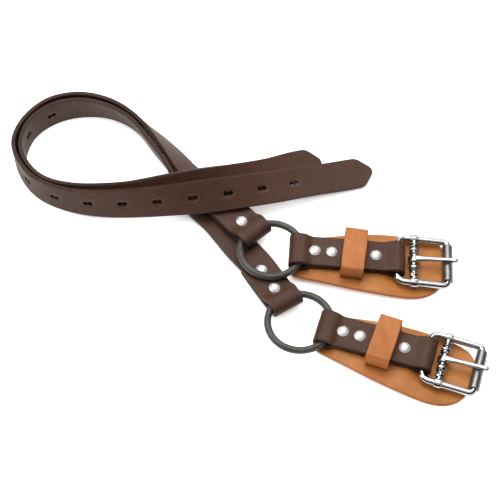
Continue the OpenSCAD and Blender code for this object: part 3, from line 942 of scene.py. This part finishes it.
def rivet_mesh(x, top, foot, seed):
    """Domed head with a soft irregular outline, a shank, and a clenched end over the burr."""
    dome = (HEAD_R * HEAD_R + HEAD_H * HEAD_H) / (2 * HEAD_H)
    prof = [(foot - 0.15, SHANK_R * 0.55), (foot + 0.02, SHANK_R * 1.02),
            (foot + 0.3, SHANK_R * 1.12), (foot + 0.75, SHANK_R), (top - 0.9, SHANK_R),
            (top - 0.7, HEAD_R - 0.5), (top - 0.45, HEAD_R - 0.08), (top + 0.12, HEAD_R - 0.02)]
    a0 = math.asin((HEAD_R - 0.12) / dome)
    for i in range(11):
        a = a0 * (1 - i / 10.5)
        z = top + dome * math.cos(a) - dome + HEAD_H
        r = dome * math.sin(a)
        prof.append((z, r))
    prof = [p for i, p in enumerate(prof) if i < 8 or p[0] > prof[7][0]]
    v, f = revolve(prof, 40)
    out = []
    for px, py, pz in v:
        r = math.hypot(py, pz)
        a = math.atan2(pz, py)
        if px > top - 1:
            n = 7 + seed % 3
            flat = 1 - 0.022 * abs(math.cos(n * a / 2 + seed)) * min(1.0, r / 2.0)
            py, pz = py * flat, pz * flat
            px -= 0.05 * math.cos(3 * a + seed) * r / HEAD_R
        out.append((x + py, pz, px))
    return out, f


def burr_mesh(x, pocket):
    prof = rounded_tube(pocket - 1.22, pocket - 0.05, SHANK_R + 0.05, BURR_R - 0.02, 0.35)
    v, f = revolve(prof, 40, closed=True)
    return [(x + y, z, a) for a, y, z in v], f


def rivets(tag, m, xs, top, low, body, nodes, slot_a, slot_b, seed):
    """A row of rivets and their burrs, each row one piece."""
    heads = [rivet_mesh(x, top, low + 0.2, seed + i * 5) for i, x in enumerate(xs)]
    burrs = [burr_mesh(x, low + PIT_DEPTH) for x in xs]
    for parts, name, mat, node, slot, angle in (
            (heads, "%s_heads_%s" % (slot_a, tag), M_RIVET, nodes[0], "rivet_nickel", 60),
            (burrs, "%s_washers_%s" % (slot_b, tag), M_BURR, nodes[1], "burr_steel", 38)):
        placed = [([tuple(p * MM) for p in put(m, v)], f) for v, f in parts]
        finish_mesh(merged(placed, name), mat, body, [node], slot, angle)


def wire_loop(points, radius, segs=24):
    """Round wire along a closed path in the plane z = 0."""
    p = np.array(points, float)
    t = np.roll(p, -1, 0) - np.roll(p, 1, 0)
    t /= np.linalg.norm(t, axis=1)[:, None]
    rows = []
    for (x, y), (tx, ty) in zip(p, t):
        nx, ny = ty, -tx
        row = []
        for j in range(segs):
            a = 2 * math.pi * j / segs
            out = radius * math.cos(a)
            row.append((x + out * nx, y + out * ny, -radius * math.sin(a)))
        rows.append(row)
    return loft(rows, closed=True)


def buckle_frame(k, tag):
    pts = []
    for cx, cy, r, a0 in ((FRONT_X - 3.2, RAIL_Y - 3.2, 3.2, 0), (5.5, RAIL_Y - 5.5, 5.5, 90),
                          (5.5, 5.5 - RAIL_Y, 5.5, 180), (FRONT_X - 3.2, 3.2 - RAIL_Y, 3.2, 270)):
        for i in range(13):
            a = math.radians(a0 + 90 * i / 12)
            pts.append((cx + r * math.cos(a), cy + r * math.sin(a)))
    full = []
    for i, p in enumerate(pts):
        n = pts[(i + 1) % len(pts)]
        full.append(p)
        gap = math.hypot(n[0] - p[0], n[1] - p[1])
        if gap > 3:
            m = int(gap / 1.5)
            full += [(p[0] + (n[0] - p[0]) * j / m, p[1] + (n[1] - p[1]) * j / m)
                     for j in range(1, m)]
    v, f = wire_loop(full, FRAME_D / 2)
    return place("wire_frame_%s" % tag, v, f, at_buckle(k), M_CHROME, "buckle_%s" % tag,
                 ["buckle_frame_%s" % tag], "buckle_chrome")


def turned(profile, segs=32):
    """Solid of revolution about Y from (y, r) points."""
    v, f = revolve(profile, segs)
    return [(b, a, -c) for a, b, c in v], f


def center_bar(k, tag):
    half = [(2.62, 2.2), (2.85, 2.5), (3.35, 2.5), (3.6, 2.3), (4.1, 2.3), (4.5, 2.6), (4.9, 3.0),
            (5.6, 3.3), (6.4, 3.35), (7.0, 3.1), (7.3, 2.8), (7.6, 3.1), (8.2, 3.3), (8.9, 3.0),
            (9.3, 2.6), (9.7, 2.3), (10.2, 2.25), (10.5, 2.5), (10.9, 2.8), (11.6, 3.0), (12.4, 2.9),
            (12.9, 2.6), (13.3, 2.3), (13.9, 2.25), (14.3, 2.4), (14.9, 2.5), (15.6, 2.45)]
    prof = [(-y, r) for y, r in reversed(half)] + half
    v, f = turned(prof, 32)
    # carved grooves run round the beads on a slant
    out = []
    for x, y, z in v:
        r = math.hypot(x, z)
        a = math.atan2(z, x)
        s = 1.0
        if 4.7 < abs(y) < 9.1 or 10.7 < abs(y) < 12.7:
            s = 1 + 0.075 * math.cos(6 * a + 1.3 * y)
        out.append((x * s, y, z * s))
    bar = link("bar_core", out, f)
    collars = []
    for s in (-1, 1):
        prof = rounded_tube(-2.7, 2.7, FRAME_D / 2 + 0.03, FRAME_D / 2 + 1.0, 0.5)
        bulge = [(x, r + (0.22 * math.cos(x / 2.7 * math.pi / 2) if r > 3 else 0)) for x, r in prof]
        cv, cf = revolve(bulge, 32, closed=True)
        collars.append(([(x, y + s * RAIL_Y, z) for x, y, z in cv], cf))
    bore = []
    for s in (-1, 1):
        bv, bf = revolve([(-8, FRAME_D / 2 + 0.03), (8, FRAME_D / 2 + 0.03)], 32)
        bore.append(([(x, y + s * RAIL_Y, z) for x, y, z in bv], bf))
    boolean(bar, [merged(collars, "collars")], "UNION")
    boolean(bar, [merged(bore, "bores")])
    v = coords(bar)
    bar.name = "beaded_bar_%s" % tag
    v[:, 0] += BAR_X
    set_coords(bar, put(at_buckle(k), v) * MM)
    finish_mesh(bar, M_CHROME, "buckle_%s" % tag, ["center_bar_%s" % tag], "buckle_chrome", 45)
    return bar


def tongue(k, tag):
    tr = TONGUE_D / 2
    z0, z1 = 3.3, ROLLER_D / 2 + tr + 0.15
    x0, x1 = BAR_X + 0.6, FRONT_X + ROLLER_D / 2 + 2.6
    rows = []
    n = 44
    for i in range(n + 1):
        u = i / n
        x = x0 + (x1 - x0) * u
        line_z = z0 + (z1 - z0) * (x - (BAR_X + 1.6)) / (FRONT_X - BAR_X - 1.6)
        z = line_z - 0.12 * math.sin(math.pi * u)
        wide = 2.3 - 0.75 * smooth(u / 0.28) + 0.28 * smooth((u - 0.72) / 0.18)
        high = 1.7 - 0.1 * math.sin(math.pi * u) - 0.3 * smooth((u - 0.9) / 0.1)
        end = math.sqrt(max(1 - max((u - 0.955) / 0.045, 0) ** 2, 0.02))
        wide, high = wide * end, high * (0.35 + 0.65 * end)
        row = []
        for j in range(28):
            a = 2 * math.pi * j / 28
            ca, sa = math.cos(a), math.sin(a)
            q = (abs(ca) ** 2.5 + abs(sa) ** 2.5) ** (-1 / 2.5)
            row.append((x, wide * q * ca, z + high * q * sa))
        rows.append(row)
    v, f = loft(rows)
    shaft = link("shaft", v, f)
    prof = rounded_tube(-2.5, 2.5, BAR_D / 2 + 0.3, 4.25, 0.7)
    ev, ef = revolve(prof, 40, closed=True)
    eye = merged([([(b + BAR_X, a, -c) for a, b, c in ev], ef)], "eye")
    boolean(eye, [shaft], "UNION")
    bv, bf = revolve([(-6, BAR_D / 2 + 0.3), (6, BAR_D / 2 + 0.3)], 40)
    boolean(eye, [merged([([(b + BAR_X, a, -c) for a, b, c in bv], bf)], "hole")])
    eye.name = "buckle_tongue_%s" % tag
    set_coords(eye, put(at_buckle(k), coords(eye)) * MM)
    finish_mesh(eye, M_CHROME, "tongue_%s" % tag, ["tongue_%s" % tag], "buckle_chrome", 40)
    return eye


def roller(k, tag):
    prof = rounded_tube(-ROLLER_L / 2, ROLLER_L / 2, FRAME_D / 2 + 0.12, ROLLER_D / 2, 0.45)
    full = []
    for i, p in enumerate(prof):
        n = prof[(i + 1) % len(prof)]
        full.append(p)
        if abs(n[0] - p[0]) > 5:
            full += [(p[0] + (n[0] - p[0]) * j / 12, p[1]) for j in range(1, 12)]
    v, f = revolve(full, 48, closed=True)
    v = [(b + FRONT_X, a, -c) for a, b, c in v]
    return place("tube_roller_%s" % tag, v, f, at_buckle(k), M_ROLLER, "roller_%s" % tag,
                 ["roller_%s" % tag], "roller_steel")


for k, tag in enumerate("ab"):
    long_strap(k, tag)
    chape(k, tag)
    pad(k, tag)
    keeper(k, tag)
    rings(k, tag)
    rivets(tag, at_long(k), RING_RIVETS, TOP_Z, BED, "long_straps",
           ["strap_rivets_%s" % tag, "strap_burrs_%s" % tag], "strap_rivet", "strap_burr", 1 + 3 * k)
    rivets(tag, at_chape(k), CHAPE_RIVETS, STRAP_T, PAD_HI - PAD_T, "chape_%s" % tag,
           ["buckle_rivets_%s" % tag, "buckle_burrs_%s" % tag], "buckle_rivet", "buckle_burr", 2 + 4 * k)
    buckle_frame(k, tag)
    center_bar(k, tag)
    tongue(k, tag)
    roller(k, tag)

# ---- floor, light and camera ----
floor = link("floor", [(-3, -3, 0), (3, -3, 0), (3, 3, 0), (-3, 3, 0)], [(0, 1, 2, 3)])
floor_mat = bpy.data.materials.new("pale_floor")
floor_mat.use_nodes = True
fb = floor_mat.node_tree.nodes["Principled BSDF"]
fb.inputs["Base Color"].default_value = (0.9, 0.9, 0.9, 1)
fb.inputs["Roughness"].default_value = 0.8
fb.inputs["Emission Color"].default_value = (1, 1, 1, 1)
# narrow gaps between the straps stay dark: the floor's own light fades where it is closed in
ft = floor_mat.node_tree
shut = ft.nodes.new("ShaderNodeAmbientOcclusion")
shut.inputs["Distance"].default_value = 0.03
ft.links.new(span(ft, shut.outputs["AO"], 0.0, 0.76, 0.12, 0.42), fb.inputs["Emission Strength"])
floor.data.materials.append(floor_mat)


def area(name, loc, target, size, power):
    d = bpy.data.lights.new(name, "AREA")
    d.shape = "RECTANGLE"
    d.size, d.size_y = size
    d.energy = power
    ob = bpy.data.objects.new(name, d)
    ob.location = loc
    ob.rotation_euler = (Vector(target) - Vector(loc)).to_track_quat("-Z", "Y").to_euler()
    scene.collection.objects.link(ob)


area("overhead", (-0.1, 0.45, 1.45), (0, 0, 0), (1.3, 1.2), 22)
area("left", (-1.3, -0.2, 1.0), (0, 0, 0), (0.5, 1.0), 7)
area("back", (0.5, 1.3, 0.9), (0, 0, 0), (1.2, 0.4), 7)

world = bpy.data.worlds.new("studio")
world.use_nodes = True
scene.world = world
wt = world.node_tree
wt.nodes.clear()
wo = wt.nodes.new("ShaderNodeOutputWorld")
bg = wt.nodes.new("ShaderNodeBackground")
seen = wt.nodes.new("ShaderNodeBackground")
seen.inputs["Color"].default_value = (0.95, 0.95, 0.95, 1)
way = wt.nodes.new("ShaderNodeTexCoord")
axes = wt.nodes.new("ShaderNodeSeparateXYZ")
wt.links.new(way.outputs["Generated"], axes.inputs["Vector"])
ramp = wt.nodes.new("ShaderNodeValToRGB")
ramp.color_ramp.elements[0].position = 0.0
ramp.color_ramp.elements[0].color = (0.02, 0.02, 0.024, 1)
ramp.color_ramp.elements[1].position = 0.92
ramp.color_ramp.elements[1].color = (0.95, 0.95, 0.97, 1)
dim = ramp.color_ramp.elements.new(0.62)
dim.color = (0.03, 0.03, 0.034, 1)
wt.links.new(axes.outputs["Z"], ramp.inputs["Fac"])
wt.links.new(ramp.outputs["Color"], bg.inputs["Color"])
bg.inputs["Strength"].default_value = 0.9
ray = wt.nodes.new("ShaderNodeLightPath")
pick = wt.nodes.new("ShaderNodeMixShader")
wt.links.new(ray.outputs["Is Camera Ray"], pick.inputs["Fac"])
wt.links.new(bg.outputs["Background"], pick.inputs[1])
wt.links.new(seen.outputs["Background"], pick.inputs[2])
wt.links.new(pick.outputs["Shader"], wo.inputs["Surface"])

VIEW_UP, VIEW_FROM, LENS = 58, 0.95, 95.8
cam = bpy.data.cameras.new("camera")
cam.lens = LENS
cam.clip_start = 0.05
cam_ob = bpy.data.objects.new("camera", cam)
el = math.radians(VIEW_UP)
cam_ob.location = (SHIFT[0] * MM, SHIFT[1] * MM - VIEW_FROM * math.cos(el),
                   VIEW_FROM * math.sin(el))
cam_ob.rotation_euler = (math.radians(90 - VIEW_UP), 0, 0)
scene.collection.objects.link(cam_ob)
scene.camera = cam_ob
scene.view_settings.view_transform = "Standard"
